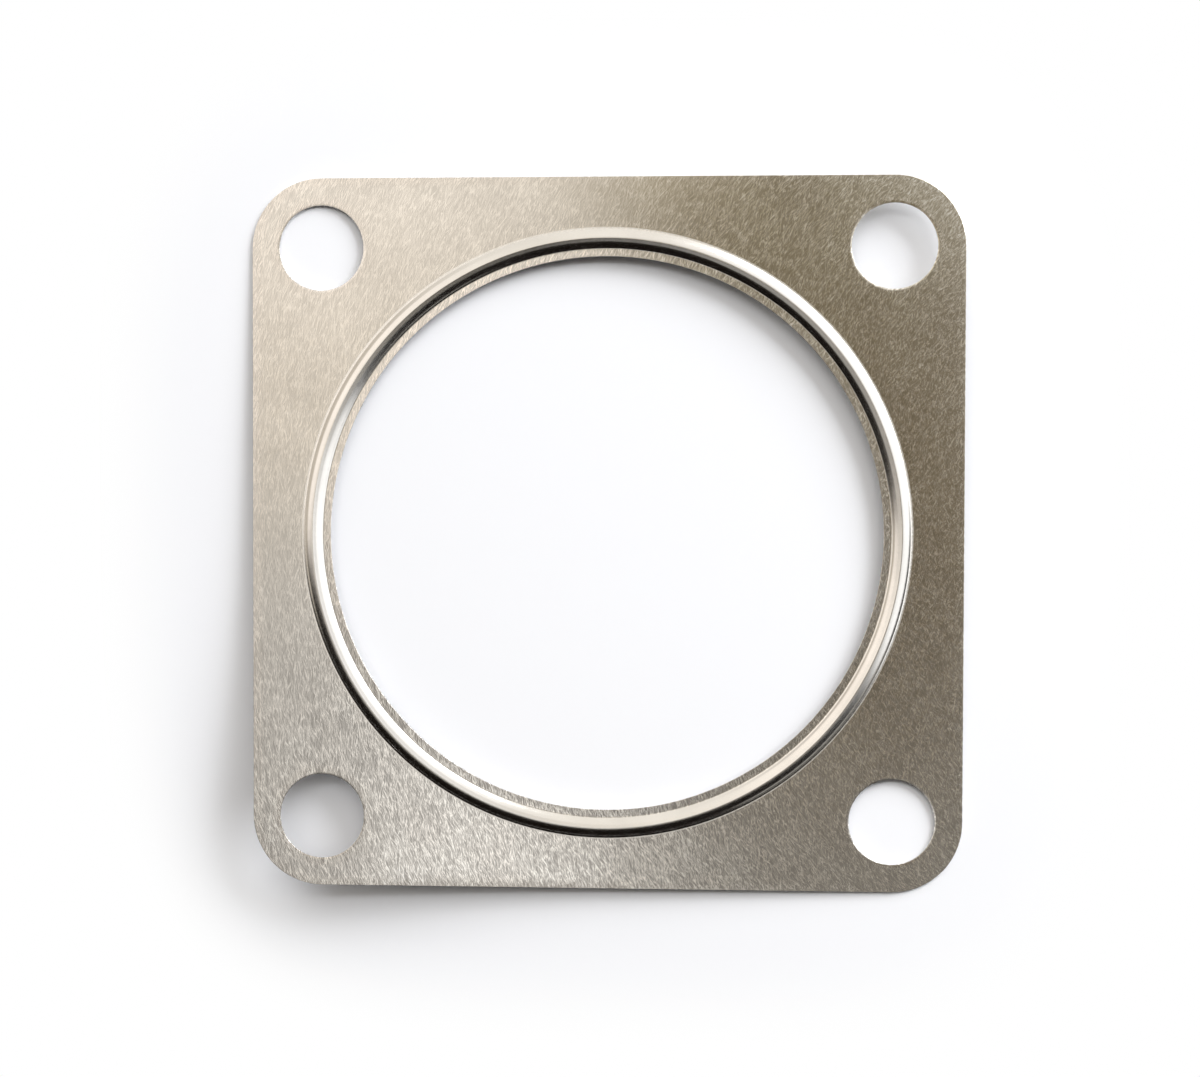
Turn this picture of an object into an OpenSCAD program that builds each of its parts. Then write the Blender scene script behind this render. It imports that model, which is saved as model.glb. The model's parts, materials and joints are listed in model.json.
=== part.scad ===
// Square four-bolt flange gasket, pressed from one thin sheet, with a full bead raised round the bore.
// The origin is the centre of the underside, +Z is the side the bead rises on, and the edges lie along X and Y.

/* [Sheet] */
// Thickness of the sheet, the same in the flat and through the bead
sheet_t = 0.25; // [0.15:0.05:0.4]

/* [Bolt pattern] */
// Distance between the centres of neighbouring bolt holes
bolt_pitch = 70.7; // [66:0.1:80]
// Diameter of each bolt hole
bolt_hole_d = 10.5; // [8.4:0.1:12]
// Distance from a bolt hole's centre to the two edges beside it, which is also the corner's radius
edge_margin = 8.65; // [7.5:0.05:12]

/* [Bore and bead] */
// Diameter of the bore
bore_d = 68.4; // [60:0.2:70]
// Width of the flat lip between the bore and the inner foot of the bead
lip_w = 0.9; // [0.4:0.1:2.5]
// Width of the bead, from foot to foot
bead_w = 2.6; // [2:0.1:3.5]
// Height of the bead's crest above the flat
bead_h = 0.5; // [0.3:0.05:0.9]
// Bend radius at each foot of the bead, to the middle of the sheet
foot_r = 0.5; // [0.3:0.05:0.6]

/* [Hidden] */

// Facets of a full circle, in the bead's section and in plan
SECTION_FN = 96;
PLAN_FN = 240;
// Overlap that carries a cut clear past the faces it cuts
CUT = 1;

plate_side = bolt_pitch + 2 * edge_margin;
// Distance from the centre to the tip of a rounded corner
corner_reach = bolt_pitch / sqrt(2) + edge_margin;

foot_in = bore_d / 2 + lip_w;
bead_mid = foot_in + bead_w / 2;
mid_z = sheet_t / 2;
// Bend radius at the crest, to the middle of the sheet, which lets the two arcs meet in a common tangent
crest_r = (pow(bead_w / 2, 2) + pow(bead_h, 2)) / (2 * bead_h) - foot_r;

// Strip of sheet bent about the point centre at mid radius r, kept inside the polygon bounds
module bent_strip(centre, r, bounds) {
    intersection() {
        translate(centre)
            difference() {
                circle(r + sheet_t / 2);
                circle(r - sheet_t / 2);
            }
        polygon(bounds);
    }
}

// Inner half of the bead's section. The line through both bend centres is where the two arcs join
module half_bead() {
    foot_c = [foot_in, mid_z + foot_r];
    crest_c = [bead_mid, mid_z + bead_h - crest_r];
    above = sheet_t + bead_h + CUT;
    below = min(crest_c.y, 0) - CUT;
    bent_strip(foot_c, foot_r, [foot_c, [foot_c.x, below], [crest_c.x, below], crest_c]);
    bent_strip(crest_c, crest_r, [crest_c, foot_c, [foot_c.x, above], [crest_c.x, above]]);
}

// Section of the pressed sheet, from the bore's edge to beyond the plate's corners
module pressed_section() {
    $fn = SECTION_FN;
    foot_out = foot_in + bead_w;
    translate([bore_d / 2, 0])
        square([lip_w, sheet_t]);
    half_bead();
    translate([2 * bead_mid, 0])
        mirror([1, 0])
            half_bead();
    translate([foot_out, 0])
        square([corner_reach + CUT - foot_out, sheet_t]);
}

// Places its child at each of the four bolt holes
module at_bolts() {
    for (x = [-1, 1], y = [-1, 1])
        translate([x, y] * bolt_pitch / 2)
            children();
}

// Outline of the plate: a square whose corners are round about the bolt holes
module outline() {
    square([plate_side, bolt_pitch], center = true);
    square([bolt_pitch, plate_side], center = true);
    at_bolts()
        circle(edge_margin);
}

// The gasket: the pressed disc, trimmed to the outline and pierced for the bolts
module gasket_plate() {
    $fn = PLAN_FN;
    color([0.80, 0.77, 0.71])
        intersection() {
            rotate_extrude()
                pressed_section();
            translate([0, 0, -CUT])
                linear_extrude(sheet_t + bead_h + 2 * CUT)
                    difference() {
                        outline();
                        at_bolts()
                            circle(d = bolt_hole_d);
                    }
        }
}

gasket_plate();
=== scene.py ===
# Pressed steel flange gasket on a white table, seen from above under a large soft light from the right
import json
import math

import bpy
from mathutils import Matrix, Vector, noise
from mathutils.geometry import delaunay_2d_cdt


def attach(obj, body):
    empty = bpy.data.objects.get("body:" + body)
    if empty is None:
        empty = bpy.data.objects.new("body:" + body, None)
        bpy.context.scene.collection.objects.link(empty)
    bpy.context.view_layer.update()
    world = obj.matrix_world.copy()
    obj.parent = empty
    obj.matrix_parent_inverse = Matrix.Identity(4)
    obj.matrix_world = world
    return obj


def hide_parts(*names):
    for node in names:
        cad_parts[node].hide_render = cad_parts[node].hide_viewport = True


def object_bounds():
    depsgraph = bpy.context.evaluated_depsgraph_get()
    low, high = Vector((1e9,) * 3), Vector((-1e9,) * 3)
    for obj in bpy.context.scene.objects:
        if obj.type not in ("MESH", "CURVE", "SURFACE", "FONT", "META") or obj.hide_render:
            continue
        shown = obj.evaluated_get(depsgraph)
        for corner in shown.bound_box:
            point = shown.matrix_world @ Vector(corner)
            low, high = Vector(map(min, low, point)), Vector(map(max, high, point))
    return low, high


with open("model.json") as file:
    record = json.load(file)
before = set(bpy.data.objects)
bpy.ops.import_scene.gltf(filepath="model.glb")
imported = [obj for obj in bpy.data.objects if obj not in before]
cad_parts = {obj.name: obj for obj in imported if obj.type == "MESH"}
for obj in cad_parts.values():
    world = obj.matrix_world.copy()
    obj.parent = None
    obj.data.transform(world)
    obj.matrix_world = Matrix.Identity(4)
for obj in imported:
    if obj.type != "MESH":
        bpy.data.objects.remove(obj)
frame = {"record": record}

CAD_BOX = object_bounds()
MM = 0.001

# Sizes in millimetres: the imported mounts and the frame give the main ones
MOUNTS = {m["name"]: m["dims"] for m in frame["record"]["mounts"]}
BORE_R = MOUNTS["bore"]["r_mm"]
SHEET_T = MOUNTS["bore"]["length_mm"]
HOLE_R = MOUNTS["bolts"]["hole_r_mm"]
BOLT_HALF = MOUNTS["bolts"]["spacing_x_mm"] / 2
PLATE_HALF = (CAD_BOX[1].x - CAD_BOX[0].x) / 2 / MM
BEAD_H = 0.5
CORNER_R = PLATE_HALF - BOLT_HALF

# The pressed section, as in the source of the solid
LIP_W = 0.9
BEAD_W = 2.6
FOOT_R = 0.5
FOOT_IN = BORE_R + LIP_W
FOOT_OUT = FOOT_IN + BEAD_W
BEAD_MID = FOOT_IN + BEAD_W / 2
BEND = 2 * math.atan(2 * BEAD_H / BEAD_W)
CREST_R = BEAD_W / 2 / math.sin(BEND) - FOOT_R

# Forms that only the shading shows: a narrow fold inside the crest, the lip's upward slope towards
# the bore, and the height in millimetres that 1 stands for in the bump
FOLD_W = 0.36
LIP_SLOPE = 0.035
BUMP_UNIT = 0.005

# Waviness left in the thin sheet, in millimetres
RIPPLE = 0.01

# The soft table top gives way under the sheet, by terms in x / PLATE_HALF and y / PLATE_HALF:
# hardly at the back left and front right corners, most at the front left one
DROP_MID = 1.25
DROP_SADDLE = 1.4
DROP_CORNER = 3.0
DROP_LEAST = 0.02

# Rounding that shearing and deburring leave on the edges, and width of the worn rim beside them
EDGE_R = 0.04
RIM_W = 1.5

# Spacing and length of the scratch lines, which carry painted glints. Each set of them follows the circles
# round one far point on the right, which are the lines that glint in light from the right, and has that
# length at GRAIN_REACH from it, all in millimetres
SCRATCH_GAP = 0.21
SCRATCH_L = 2.6
GRAIN_CENTRES = ((90.0, 0.0), (75.0, 32.0), (120.0, -40.0), (78.0, -30.0), (100.0, 15.0))
GRAIN_REACH = 110.0


def waviness(x, y):
    """Height of the slightly wavy sheet's underside."""
    return noise.noise(Vector((x / 26, y / 31, 0.4))) * RIPPLE


def table_drop(x, y):
    """Depth of the table top below the plane on which the sheet lies."""
    u, v = (max(-1.0, min(1.0, c / PLATE_HALF)) for c in (x, y))
    return max(DROP_LEAST, DROP_MID + DROP_SADDLE * u * v + DROP_CORNER * max(0.0, -u - v - 1.0) ** 2)


def circle_loop(cx, cy, r, count, outward):
    """Points and unit normals round a circle. The normal points out of the metal."""
    loop = []
    for i in range(count):
        a = 2 * math.pi * i / count
        n = Vector((math.cos(a), math.sin(a)))
        loop.append((Vector((cx, cy)) + n * r, n * outward))
    return loop


def outline_loop(arc_steps, straight_steps):
    """Points and unit normals round the plate's rounded square."""
    loop = []
    for quarter in range(4):
        turn = math.pi / 2 * quarter
        spin = Matrix.Rotation(turn, 2)
        centre = spin @ Vector((BOLT_HALF, BOLT_HALF))
        for i in range(arc_steps + 1):
            a = turn + math.pi / 2 * i / arc_steps
            n = Vector((math.cos(a), math.sin(a)))
            loop.append((centre + n * CORNER_R, n))
        n = spin @ Vector((0, 1))
        start = centre + n * CORNER_R
        along = spin @ Vector((-1, 0))
        for i in range(1, straight_steps):
            loop.append((start + along * (2 * BOLT_HALF * i / straight_steps), n.copy()))
    return loop


def bead_section():
    """Mid line of the pressed section from the bore outwards: (radius, height, tangent angle)."""
    points = [(BORE_R + LIP_W * f, 0.0, 0.0) for f in (0.12, 0.35, 0.65, 0.9)]
    foot_steps, crest_steps = 7, 18
    for i in range(foot_steps):
        a = BEND * i / foot_steps
        points.append((FOOT_IN + FOOT_R * math.sin(a), FOOT_R * (1 - math.cos(a)), a))
    for i in range(crest_steps + 1):
        a = BEND * (1 - 2 * i / crest_steps)
        points.append((BEAD_MID - CREST_R * math.sin(a), BEAD_H - CREST_R * (1 - math.cos(a)), a))
    for i in range(foot_steps - 1, -1, -1):
        a = BEND * i / foot_steps
        points.append((FOOT_OUT - FOOT_R * math.sin(a), FOOT_R * (1 - math.cos(a)), -a))
    return points


class Sheet:
    """Collects the vertices and faces of both sides of the sheet."""

    def __init__(self):
        self.verts, self.faces, self.rim = [], [], []

    def vert(self, x, y, z, rim=0.0):
        self.verts.append((x, y, z))
        self.rim.append(rim)
        return len(self.verts) - 1

    def strip(self, a, b):
        """Quads between two closed rows of vertices."""
        for i in range(len(a)):
            j = (i + 1) % len(a)
            self.faces.append((a[i], a[j], b[j], b[i]))


def rim_weight(distance):
    """1 at a sheared edge, falling to 0 where the rim zone ends."""
    t = max(0.0, 1 - distance / RIM_W)
    return t * t * (3 - 2 * t)


def edge_rows(sheet, loop):
    """Rows of vertices round a sheared edge, from the top face over the rounded edge to the underside."""
    rows = []
    steps = 3
    profile = [(EDGE_R * (1 - math.sin(a)), SHEET_T - EDGE_R * (1 - math.cos(a)))
               for a in (math.pi / 2 * i / steps for i in range(steps + 1))]
    profile += [(inset, SHEET_T - z) for inset, z in reversed(profile)]
    for inset, z in profile:
        rows.append([sheet.vert(*(p - n * inset), z, 1.0) for p, n in loop])
    for a, b in zip(rows, rows[1:]):
        sheet.strip(a, b)
    return rows[0], rows[-1]


def flat_mesh(loops, foot_ring):
    """Triangles of the flat between the outline, the bolt holes and the bead's outer foot."""
    coords, edges, rims = [], [], []

    def add_ring(points, rim):
        first = len(coords)
        coords.extend(points)
        rims.extend([rim] * len(points))
        edges.extend((first + i, first + (i + 1) % len(points)) for i in range(len(points)))
        return range(first, len(coords))

    joined = [add_ring([p - n * EDGE_R for p, n in loop], 1.0) for loop in loops]
    for loop in loops:
        for inset in (0.3, 0.7, 1.1, RIM_W):
            add_ring([p - n * inset for p, n in loop], rim_weight(inset))
    joined.append(add_ring(foot_ring, 0.0))
    add_ring([p * (1 + 0.7 / FOOT_OUT) for p in foot_ring[::2]], 0.0)

    pitch, clear = 1.5, 2.2
    steps = int(PLATE_HALF / pitch)
    for i in range(-steps, steps + 1):
        for j in range(-steps, steps + 1):
            p = Vector((i + 0.5 * (j % 2), j)) * pitch
            if max(abs(p.x), abs(p.y)) > PLATE_HALF - clear or p.length < FOOT_OUT + 1.5:
                continue
            corner = Vector((abs(p.x) - BOLT_HALF, abs(p.y) - BOLT_HALF))
            if corner.length < HOLE_R + clear or (min(corner) > 0 and corner.length > CORNER_R - clear):
                continue
            coords.append(p)
            rims.append(0.0)

    made = delaunay_2d_cdt(coords, edges, [], 0, 1e-6)
    points, triangles, origins = made[0], made[2], made[3]
    keep = []
    for tri in triangles:
        mid = sum((points[i] for i in tri), Vector((0, 0))) / 3
        corner = Vector((abs(mid.x) - BOLT_HALF, abs(mid.y) - BOLT_HALF))
        if mid.length > FOOT_OUT * 0.9999 and corner.length > HOLE_R + EDGE_R * 0.99:
            if not (min(corner) > 0 and corner.length > CORNER_R):
                keep.append(tri)
    source = [o[0] for o in origins]
    place = {s: i for i, s in enumerate(source)}
    return points, keep, [rims[s] for s in source], [[place[i] for i in ring] for ring in joined]


def build_gasket():
    """The gasket as one closed, faintly wavy mesh: sheared edges, pressed section and flat."""
    sheet = Sheet()
    around = 360
    bore = circle_loop(0, 0, BORE_R, around, -1)
    holes = [circle_loop(sx * BOLT_HALF, sy * BOLT_HALF, HOLE_R, 72, -1)
             for sx in (-1, 1) for sy in (-1, 1)]
    outline = outline_loop(18, 46)

    tops, bottoms = [], []
    for loop in [outline] + holes + [bore]:
        top, bottom = edge_rows(sheet, loop)
        tops.append(top)
        bottoms.append(bottom)

    section = bead_section()
    dirs = [-n for _, n in bore]
    for side, start in ((1, tops), (-1, bottoms)):
        row = start[-1]
        for r, z, slope in section:
            off = side * SHEET_T / 2
            rr, zz = r - math.sin(slope) * off, z + SHEET_T / 2 + math.cos(slope) * off
            rim = rim_weight(rr - BORE_R) if rr < FOOT_IN else 0.0
            new = [sheet.vert(d.x * rr, d.y * rr, zz, rim) for d in dirs]
            sheet.strip(*((row, new) if side > 0 else (new, row)))
            row = new
        foot_ring = [Vector(sheet.verts[i][:2]) for i in row]
        points, tris, rims, rings = flat_mesh([outline] + holes, foot_ring)
        known = {}
        for ring, real in zip(rings, start[:-1] + [row]):
            known.update(zip(ring, real))
        z = SHEET_T if side > 0 else 0.0
        index = [known[i] if i in known else sheet.vert(p.x, p.y, z, rims[i])
                 for i, p in enumerate(points)]
        for tri in tris:
            face = [index[i] for i in tri]
            sheet.faces.append(face if side > 0 else face[::-1])

    mesh = bpy.data.meshes.new("gasket_sheet")
    lifted = [z + waviness(x, y) for x, y, z in sheet.verts]
    lowest = min(lifted)
    verts = [(x * MM, y * MM, (high - lowest) * MM) for (x, y, z), high in zip(sheet.verts, lifted)]
    mesh.from_pydata(verts, [], sheet.faces)
    rim = mesh.attributes.new("rim", "FLOAT", "POINT")
    rim.data.foreach_set("value", sheet.rim)
    mesh.validate()
    mesh.update()
    obj = bpy.data.objects.new("gasket_sheet", mesh)
    bpy.context.scene.collection.objects.link(obj)
    mesh.shade_smooth()
    mesh.set_sharp_from_angle(angle=math.radians(40))
    return obj


class Graph:
    """Short calls that add and link shader nodes."""

    def __init__(self, tree):
        self.tree = tree
        tree.nodes.clear()

    def node(self, kind, **settings):
        made = self.tree.nodes.new(kind)
        for key, value in settings.items():
            setattr(made, key, value)
        return made

    def feed(self, socket, value):
        if isinstance(value, bpy.types.NodeSocket):
            self.tree.links.new(value, socket)
        else:
            socket.default_value = value

    def math(self, operation, a, b=0.0, c=0.0, clamp=False):
        made = self.node("ShaderNodeMath", operation=operation, use_clamp=clamp)
        for socket, value in zip(made.inputs, (a, b, c)):
            self.feed(socket, value)
        return made.outputs[0]

    def ramp(self, value, low, high):
        """Smooth step from 0 where value is low to 1 where it is high, clamped at both ends."""
        made = self.node("ShaderNodeMapRange", interpolation_type="SMOOTHSTEP")
        for socket, v in zip(made.inputs, (value, low, high)):
            self.feed(socket, v)
        return made.outputs[0]

    def mix(self, factor, a, b):
        made = self.node("ShaderNodeMix", data_type="RGBA")
        for socket, v in ((made.inputs[0], factor), (made.inputs[6], a), (made.inputs[7], b)):
            self.feed(socket, v)
        return made.outputs[2]

    def vector(self, operation, a, b=(0, 0, 0), out=0):
        made = self.node("ShaderNodeVectorMath", operation=operation)
        self.feed(made.inputs[0], a)
        self.feed(made.inputs[1], b)
        return made.outputs[out]

    def dot(self, a, b):
        return self.vector("DOT_PRODUCT", a, b, out=1)

    def split(self, vector):
        """The X, Y and Z of a vector."""
        made = self.node("ShaderNodeSeparateXYZ")
        self.feed(made.inputs[0], vector)
        return made.outputs

    def join(self, *values):
        """A vector from its X, Y and Z. What is left out is 0."""
        made = self.node("ShaderNodeCombineXYZ")
        for socket, value in zip(made.inputs, values):
            self.feed(socket, value)
        return made.outputs[0]

    def length(self, x, y):
        """Length of the vector (x, y)."""
        return self.math("SQRT", self.math("ADD", self.math("MULTIPLY", x, x), self.math("MULTIPLY", y, y)))

    def noise(self, vector, scale, detail, dims="3D", out=0):
        made = self.node("ShaderNodeTexNoise", noise_dimensions=dims)
        self.feed(made.inputs["Vector"], vector)
        self.feed(made.inputs["Scale"], scale)
        self.feed(made.inputs["Detail"], detail)
        return made.outputs[out]


def rgba(r, g, b):
    return (r, g, b, 1.0)


# Two tones of the steel, in patches, and the same two towards the back right corner
STEEL = rgba(0.76, 0.74, 0.71), rgba(0.83, 0.81, 0.78)
WARM_STEEL = rgba(0.75, 0.69, 0.58), rgba(0.82, 0.76, 0.64)
WORN_RIM = rgba(0.90, 0.85, 0.80)
# Near-white painted highlight for a thin line round the bead's outer foot, where it catches the light
FOOT_HIGHLIGHT = rgba(1.0, 0.99, 0.97)
# Share of that colour that shows on the bead and its painted foot highlight, which have no scratch lines
SMOOTH_TONE = 0.97


def hair_scratch_glints(g, place, least):
    """Thin crossing scratch lines, 1 on a line and 0 between, which take painted glints. Fewer show where
    least is higher.
    """
    drift = g.noise(place, 0.30, 1.0, out=1)
    drift = g.vector("SCALE", g.vector("SUBTRACT", drift, (0.5, 0.5, 0.5)))
    drift.node.inputs["Scale"].default_value = 0.7
    bent = g.vector("ADD", place, drift)
    total = None
    for i, (cx, cy) in enumerate(GRAIN_CENTRES):
        x, y, _ = g.split(g.vector("SUBTRACT", bent, (cx, cy, 0)))
        turn = g.math("ARCTAN2", y, g.math("MULTIPLY", x, -1.0))
        at = g.join(g.math("MULTIPLY", g.length(x, y), 1 / SCRATCH_GAP),
                    g.math("MULTIPLY_ADD", turn, GRAIN_REACH / SCRATCH_L, 40.0 * i))
        field, chance, _ = g.split(g.noise(at, 1.0, 0.0, dims="2D", out=1))
        ridge = g.math("ABSOLUTE", g.math("SUBTRACT", field, 0.5))
        shown = g.math("MULTIPLY", g.math("SUBTRACT", chance, least), 8.0, clamp=True)
        line = g.math("MULTIPLY", g.ramp(ridge, 0.065, 0.01), shown)
        total = line if total is None else g.math("MAXIMUM", total, line)
    return total


def steel_material():
    """Stainless sheet with hair scratch lines lit by painted glints, worn rims, and a smoother bead with a
    painted highlight line round its outer foot.
    """
    mat = bpy.data.materials.new("scratched_steel")
    mat.use_nodes = True
    g = Graph(mat.node_tree)
    coords = g.node("ShaderNodeTexCoord")
    place = g.vector("MULTIPLY", coords.outputs["Object"], (1 / MM, 1 / MM, 1 / MM))
    radius = g.vector("LENGTH", g.vector("MULTIPLY", place, (1, 1, 0)), out=1)
    rim = g.node("ShaderNodeAttribute", attribute_name="rim").outputs["Fac"]

    # Where each kind of surface lies, from 0 to 1. The painted glints on the scratch lines stand out less
    # at the back left, and fewer lines show on the right
    on_bead = g.math("MULTIPLY", g.ramp(radius, FOOT_IN - 0.05, FOOT_IN + 0.2),
                     g.ramp(radius, FOOT_OUT + 0.05, FOOT_OUT - 0.2))
    # A thin line round the outer foot that takes a painted highlight, and is rougher
    foot_highlight = g.math("MULTIPLY", g.ramp(radius, FOOT_OUT - 0.06, FOOT_OUT + 0.03),
                  g.ramp(radius, FOOT_OUT + 0.17, FOOT_OUT + 0.08))
    smooth = g.math("MAXIMUM", on_bead, foot_highlight)
    plain = g.ramp(g.dot(place, (-0.8, 0.6, 0)), 6.0, 36.0)
    right = g.ramp(g.dot(place, (1, 0.25, 0)), -8.0, 24.0)
    scratch_glints = hair_scratch_glints(g, place, g.math("MULTIPLY_ADD", right, 0.08, 0.40))
    patches = g.noise(place, 0.13, 3.0)
    grain = g.noise(place, 2.2, 2.0)
    lines = g.noise(g.join(g.math("MULTIPLY", radius, 9.0), g.noise(place, 0.05, 0.0)), 1.0, 2.0, dims="2D")

    # The colour turns warmer towards the back right, but not on the scratch lines, the bead or the line
    # round its foot
    warm = g.ramp(g.dot(place, (1, 0.8, 0)), 22.0, 50.0)
    warm = g.math("MULTIPLY", warm, g.math("SUBTRACT", 1.0, g.math("MAXIMUM", smooth, scratch_glints)))
    steel = g.mix(g.ramp(patches, 0.3, 0.7), *(g.mix(warm, *pair) for pair in zip(STEEL, WARM_STEEL)))
    worn = g.math("MULTIPLY", rim, g.math("MULTIPLY_ADD", right, -0.40, 0.45))
    steel = g.mix(worn, steel, WORN_RIM)
    # Painted highlight: the line round the outer foot turns near white
    steel = g.mix(g.math("MULTIPLY", foot_highlight, 0.9), steel, FOOT_HIGHLIGHT)

    # Share of that colour between the scratch lines and on them. On them it is above 1, a painted glint,
    # which is fainter at the back left; between them the tone rises towards the back left and the right
    low = g.math("MULTIPLY_ADD", plain, 0.30, g.math("MULTIPLY_ADD", right, 0.17, 0.51))
    high = g.math("MULTIPLY_ADD", plain, -0.18, 1.27)
    low = g.math("MULTIPLY_ADD", g.math("SUBTRACT", SMOOTH_TONE, low), smooth, low)
    high = g.math("MULTIPLY_ADD", g.math("SUBTRACT", SMOOTH_TONE, high), smooth, high)
    tone = g.math("MULTIPLY_ADD", scratch_glints, g.math("SUBTRACT", high, low), low)
    colour = g.vector("MULTIPLY", steel, g.join(tone, tone, tone))

    rough = g.math("MULTIPLY_ADD", g.ramp(grain, 0.3, 0.7), 0.03, 0.16)
    rough = g.math("MULTIPLY_ADD", rim, g.math("MULTIPLY_ADD", right, -0.06, 0.07), rough)
    rough = g.math("MULTIPLY_ADD", foot_highlight, 0.10, rough)
    rough = g.math("MULTIPLY_ADD", on_bead, 0.03, rough)

    # Bump: a grained rim, lines along the bead, the sloping lip, and the fold. The fold undoes the curve
    # of the crest's inner side, and from the crest outwards it stays level
    height = g.math("MULTIPLY", rim, g.math("MULTIPLY", g.math("SUBTRACT", grain, 0.5), 1.1))
    lines = g.math("MULTIPLY", g.math("SUBTRACT", lines, 0.5), 0.25)
    height = g.math("MULTIPLY_ADD", on_bead, lines, height)
    lip = g.math("MAXIMUM", g.math("SUBTRACT", FOOT_IN, radius), 0.0)
    height = g.math("MULTIPLY_ADD", lip, LIP_SLOPE / BUMP_UNIT, height)
    fold = g.math("SUBTRACT", g.math("MINIMUM", radius, BEAD_MID), BEAD_MID - FOLD_W)
    fold = g.math("POWER", g.math("MAXIMUM", fold, 0.0), 2.0)
    height = g.math("MULTIPLY_ADD", fold, 0.5 / CREST_R / BUMP_UNIT, height)
    bump = g.node("ShaderNodeBump")
    bump.inputs["Strength"].default_value = 1.0
    bump.inputs["Distance"].default_value = BUMP_UNIT * MM
    g.feed(bump.inputs["Height"], height)

    bsdf = g.node("ShaderNodeBsdfPrincipled")
    g.feed(bsdf.inputs["Base Color"], colour)
    bsdf.inputs["Metallic"].default_value = 1.0
    g.feed(bsdf.inputs["Roughness"], rough)
    g.feed(bsdf.inputs["Normal"], bump.outputs[0])
    out = g.node("ShaderNodeOutputMaterial")
    g.feed(out.inputs["Surface"], bsdf.outputs[0])
    return mat


# Colour of the table, and how far out, in metres, it starts to turn and has turned plain white
TABLE = rgba(0.868, 0.886, 0.94)
WHITE_FROM, WHITE_AT = 0.050, 0.064


def table_material():
    """White table: faintly blue near the object and plain white further out, except to diffuse rays."""
    mat = bpy.data.materials.new("white_table")
    mat.use_nodes = True
    g = Graph(mat.node_tree)
    x, y, _ = g.split(g.node("ShaderNodeTexCoord").outputs["Object"])
    fourth = [g.math("POWER", g.math("ABSOLUTE", part), 4.0) for part in (x, y)]
    reach = g.math("POWER", g.math("ADD", *fourth), 0.25)
    diffuse = g.node("ShaderNodeBsdfDiffuse")
    diffuse.inputs["Color"].default_value = TABLE
    white = g.node("ShaderNodeEmission")
    white.inputs["Color"].default_value = rgba(1, 1, 1)
    white.inputs["Strength"].default_value = 1.0
    path = g.node("ShaderNodeLightPath")
    seen = g.math("ADD", path.outputs["Is Camera Ray"], path.outputs["Is Glossy Ray"])
    seen = g.math("ADD", seen, path.outputs["Is Transmission Ray"], clamp=True)
    far = g.math("MULTIPLY", g.ramp(reach, WHITE_FROM, WHITE_AT), seen)
    mix = g.node("ShaderNodeMixShader")
    g.feed(mix.inputs[0], far)
    g.feed(mix.inputs[1], diffuse.outputs[0])
    g.feed(mix.inputs[2], white.outputs[0])
    out = g.node("ShaderNodeOutputMaterial")
    g.feed(out.inputs["Surface"], mix.outputs[0])
    return mat


def build_table():
    """A wide table top, hollow where the shadows under the sheet call for it. It shades as if level."""
    near = range(-64, 65, 2)
    lines = [-6000, -800, -120, *near, 120, 800, 6000]
    verts = [(x * MM, y * MM, -table_drop(x, y) * MM) for y in lines for x in lines]
    n = len(lines)
    corners = [j * n + i for j in range(n - 1) for i in range(n - 1)]
    faces = [(c, c + 1, c + n + 1, c + n) for c in corners]
    mesh = bpy.data.meshes.new("table_top")
    mesh.from_pydata(verts, [], faces)
    mesh.normals_split_custom_set([(0, 0, 1)] * len(mesh.loops))
    mesh.materials.append(table_material())
    obj = bpy.data.objects.new("table_top", mesh)
    bpy.context.scene.collection.objects.link(obj)


# Light from the parts of the room, where 1 is white: walls, the same as metal sees them, and ceiling
FRONT_WALL, BACK_WALL = rgba(0.016, 0.012, 0.008), rgba(1.10, 1.04, 0.94)
METAL_FRONT, METAL_WINDOW = rgba(0.006, 0.004, 0.003), rgba(0.56, 0.54, 0.50)
METAL_WEST_LOW, METAL_WEST_HIGH = rgba(0.66, 0.59, 0.50), rgba(1.30, 1.20, 1.10)
METAL_BACK, METAL_EAST = rgba(1.06, 1.01, 0.93), rgba(1.34, 1.34, 1.34)
BRIGHT_FRONT, BRIGHT_NEAR = rgba(1.38, 1.34, 1.28), rgba(0.88, 0.86, 0.83)
BRIGHT_MID, BRIGHT_BACK = rgba(0.88, 0.785, 0.655), rgba(1.18, 1.09, 0.97)
BRIGHT_WEST = rgba(0.60, 0.57, 0.525)
DIM_FRONT, DIM_MID, DIM_BACK = rgba(0.335, 0.308, 0.265), rgba(0.17, 0.13, 0.075), rgba(0.225, 0.185, 0.10)
# Share of the ceiling that only metal sees
METAL_ONLY = 0.65


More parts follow.
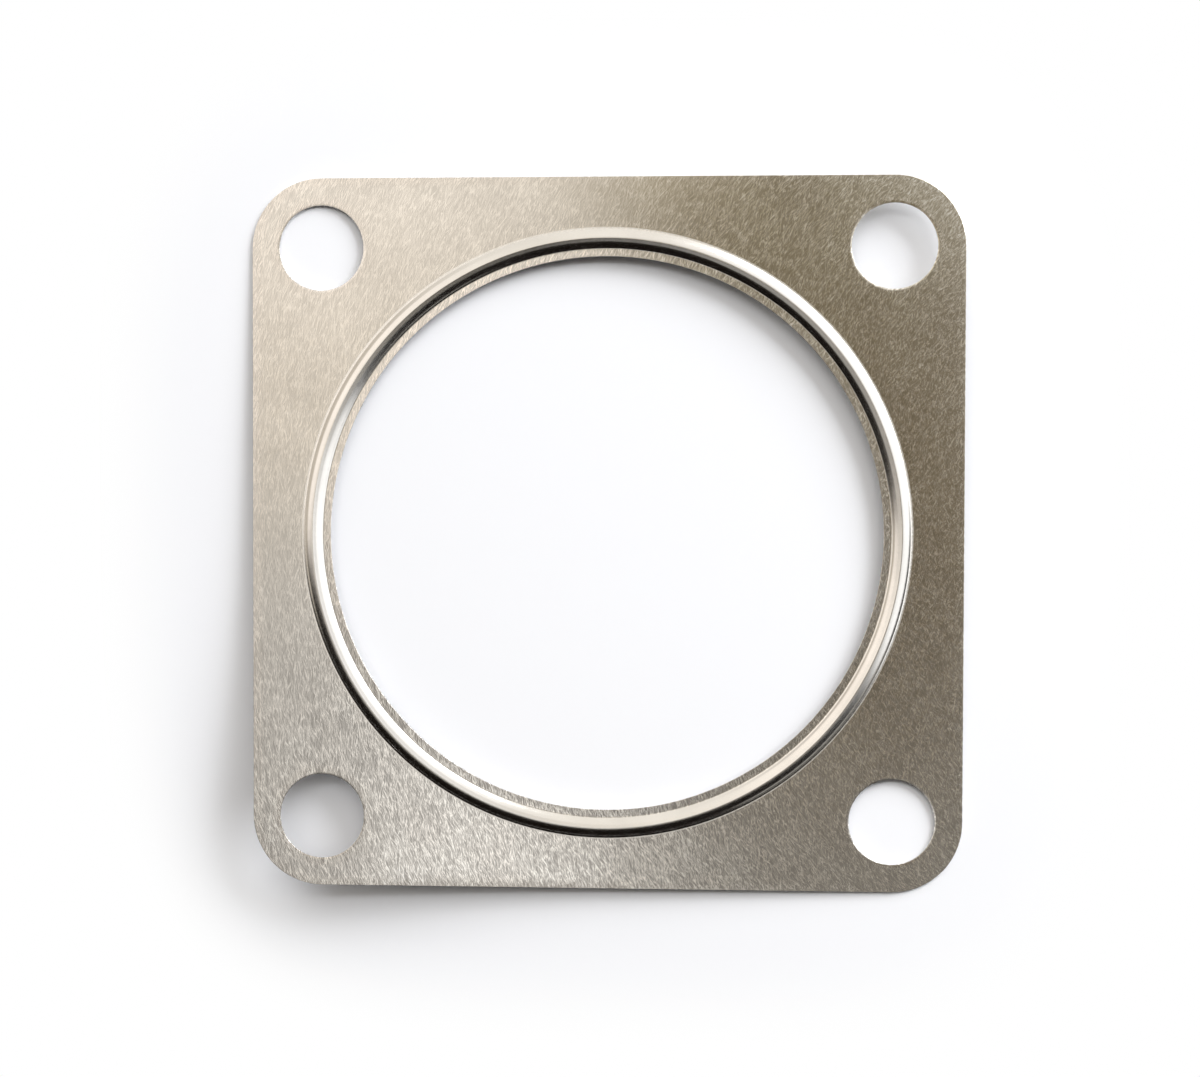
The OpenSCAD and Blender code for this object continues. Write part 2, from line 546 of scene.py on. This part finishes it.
def build_room():
    """World light by direction: white walls behind and beside the object, dark ones in front, and a
    ceiling. Rays from metal see a stronger room, with a low window and a dark part in front."""
    world = bpy.data.worlds.new("room")
    bpy.context.scene.world = world
    world.use_nodes = True
    g = Graph(world.node_tree)
    x, y, z = g.split(g.node("ShaderNodeTexCoord").outputs["Generated"])
    path = g.node("ShaderNodeLightPath")
    glossy = path.outputs["Is Glossy Ray"]

    # The walls. For metal the white ones reach further to the front, most of all higher up on the right
    level = g.length(x, y)
    east = g.math("DIVIDE", x, level)
    north = g.math("DIVIDE", y, level)
    risen = g.math("MULTIPLY", g.ramp(z, g.math("MULTIPLY_ADD", east, 0.07, 0.13),
                                      g.math("MULTIPLY_ADD", east, 0.11, 0.30)), glossy)
    turned = g.math("MULTIPLY_ADD", risen, g.math("MULTIPLY_ADD", east, 0.23, 0.36), north)
    low_west = g.math("MULTIPLY", g.ramp(z, 0.20, 0.10), g.ramp(east, -0.3, -0.7))
    turned = g.math("MULTIPLY_ADD", g.math("MULTIPLY", low_west, glossy), 0.30, turned)
    behind = g.ramp(g.math("MULTIPLY_ADD", glossy, 0.08, turned), 0.03, 0.21)
    dark = g.mix(glossy, FRONT_WALL, METAL_FRONT)
    # A low window to the front right, which the flat sheet mirrors when it is seen from the back left
    to_window = g.math("MULTIPLY", g.math("SUBTRACT", east, north), math.sqrt(0.5))
    window = g.math("MULTIPLY", g.ramp(z, 0.15, 0.21), g.ramp(z, 0.37, 0.32))
    window = g.math("MULTIPLY", window, g.ramp(to_window, 0.90, 0.96))
    dark = g.mix(g.math("MULTIPLY", window, glossy), dark, METAL_WINDOW)
    sides = g.mix(g.ramp(z, 0.40, 0.54), METAL_WEST_LOW, METAL_WEST_HIGH)
    sides = g.mix(g.ramp(east, -0.90, -0.35), sides, METAL_BACK)
    sides = g.mix(g.ramp(east, 0.10, 0.55), sides, METAL_EAST)
    walls = g.mix(behind, dark, g.mix(glossy, BACK_WALL, sides))

    # The ceiling, by its own X and Y for unit height: bright on the left, dim and warm on the right.
    # The flat sheet mirrors the middle of it, so each step here is a change of tone across the sheet
    up = g.math("MAXIMUM", z, 0.02)
    over_x = g.math("DIVIDE", x, up)
    over_y = g.math("DIVIDE", y, up)
    bright = g.mix(g.ramp(over_y, -0.07, 0.01), BRIGHT_NEAR, BRIGHT_MID)
    bright = g.mix(g.ramp(over_y, 0.04, 0.15), bright, BRIGHT_BACK)
    bright = g.mix(g.ramp(over_y, -0.11, -0.16), bright, BRIGHT_FRONT)
    outer = g.math("MULTIPLY", g.ramp(over_x, -0.14, -0.22), g.ramp(over_y, 0.02, -0.04))
    bright = g.mix(outer, bright, BRIGHT_WEST)
    dim = g.mix(g.ramp(over_y, 0.05, 0.14), DIM_MID, DIM_BACK)
    dim = g.mix(g.ramp(over_y, -0.11, -0.19), dim, DIM_FRONT)
    split = g.math("MULTIPLY_ADD", g.math("MINIMUM", g.math("ADD", over_y, 0.08), 0.0), 0.1, over_x)
    ceiling = g.mix(g.ramp(split, -0.036, -0.078), dim, bright)
    ceiling = g.mix(glossy, g.mix(METAL_ONLY, ceiling, rgba(0, 0, 0)), ceiling)

    # The ceiling gives way to the walls further out, and ahead it turns dark for metal
    spread = g.length(g.math("ADD", over_x, 0.056), g.math("ADD", over_y, 0.024))
    colour = g.mix(g.ramp(spread, 0.21, g.math("MULTIPLY_ADD", behind, -0.26, 0.62)), ceiling, walls)
    ahead = g.math("MULTIPLY", g.ramp(over_y, -0.23, -0.37), g.ramp(g.math("ABSOLUTE", east), 0.75, 0.35))
    colour = g.mix(g.math("MULTIPLY", ahead, glossy), colour, dark)
    colour = g.mix(path.outputs["Is Camera Ray"], colour, rgba(1, 1, 1))
    back = g.node("ShaderNodeBackground")
    g.feed(back.inputs["Color"], colour)
    back.inputs["Strength"].default_value = 1.0
    out = g.node("ShaderNodeOutputWorld")
    g.feed(out.inputs["Surface"], back.outputs[0])


def softbox(name, azimuth, zenith, distance, width, height, radiance, colour, in_metal=True):
    """Area light that faces the gasket. Angles in degrees: azimuth from +X towards +Y, zenith from +Z."""
    a, t = math.radians(azimuth), math.radians(zenith)
    data = bpy.data.lights.new(name, "AREA")
    data.shape = "RECTANGLE"
    data.size, data.size_y = width, height
    data.energy = radiance * math.pi * width * height
    data.color = colour
    obj = bpy.data.objects.new(name, data)
    away = Vector((math.sin(t) * math.cos(a), math.sin(t) * math.sin(a), math.cos(t)))
    obj.location = away * distance
    obj.rotation_mode = "QUATERNION"
    obj.rotation_quaternion = away.to_track_quat("Z", "Y")
    obj.visible_camera = False
    obj.visible_glossy = in_metal
    bpy.context.scene.collection.objects.link(obj)


def build_camera():
    """Camera above the gasket, a little to the right and behind its middle."""
    place = Vector((13.93, 6.0, 249.54)) * MM
    aim = Vector((-0.65, -0.56, 0.0)) * MM
    roll = math.radians(0.135)
    data = bpy.data.cameras.new("camera")
    data.sensor_fit = "HORIZONTAL"
    data.sensor_width = 36.0
    data.lens = 60.65
    data.clip_start, data.clip_end = 0.01, 50
    cam = bpy.data.objects.new("camera", data)
    back = (place - aim).normalized()
    right = Vector((0, 1, 0)).cross(back).normalized()
    up = back.cross(right)
    level = Matrix((right, up, back)).transposed()
    cam.matrix_world = Matrix.Translation(place) @ (level @ Matrix.Rotation(roll, 3, "Z")).to_4x4()
    bpy.context.scene.collection.objects.link(cam)
    bpy.context.scene.camera = cam


build_camera()
gasket = build_gasket()
gasket.data.materials.append(steel_material())
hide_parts("gasket_plate")
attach(gasket, "root")
build_table()
build_room()
# A large key light from the back right, and a strip behind that metal doesn't show
softbox("key", 40, 66.5, 1.0, 0.85, 0.525, 10.2, (0.975, 0.99, 1.0))
softbox("strip", 90, 27, 1.0, 1.3, 0.12, 4.0, (0.99, 0.995, 1.0), in_metal=False)

view = bpy.context.scene.view_settings
view.view_transform = "Standard"
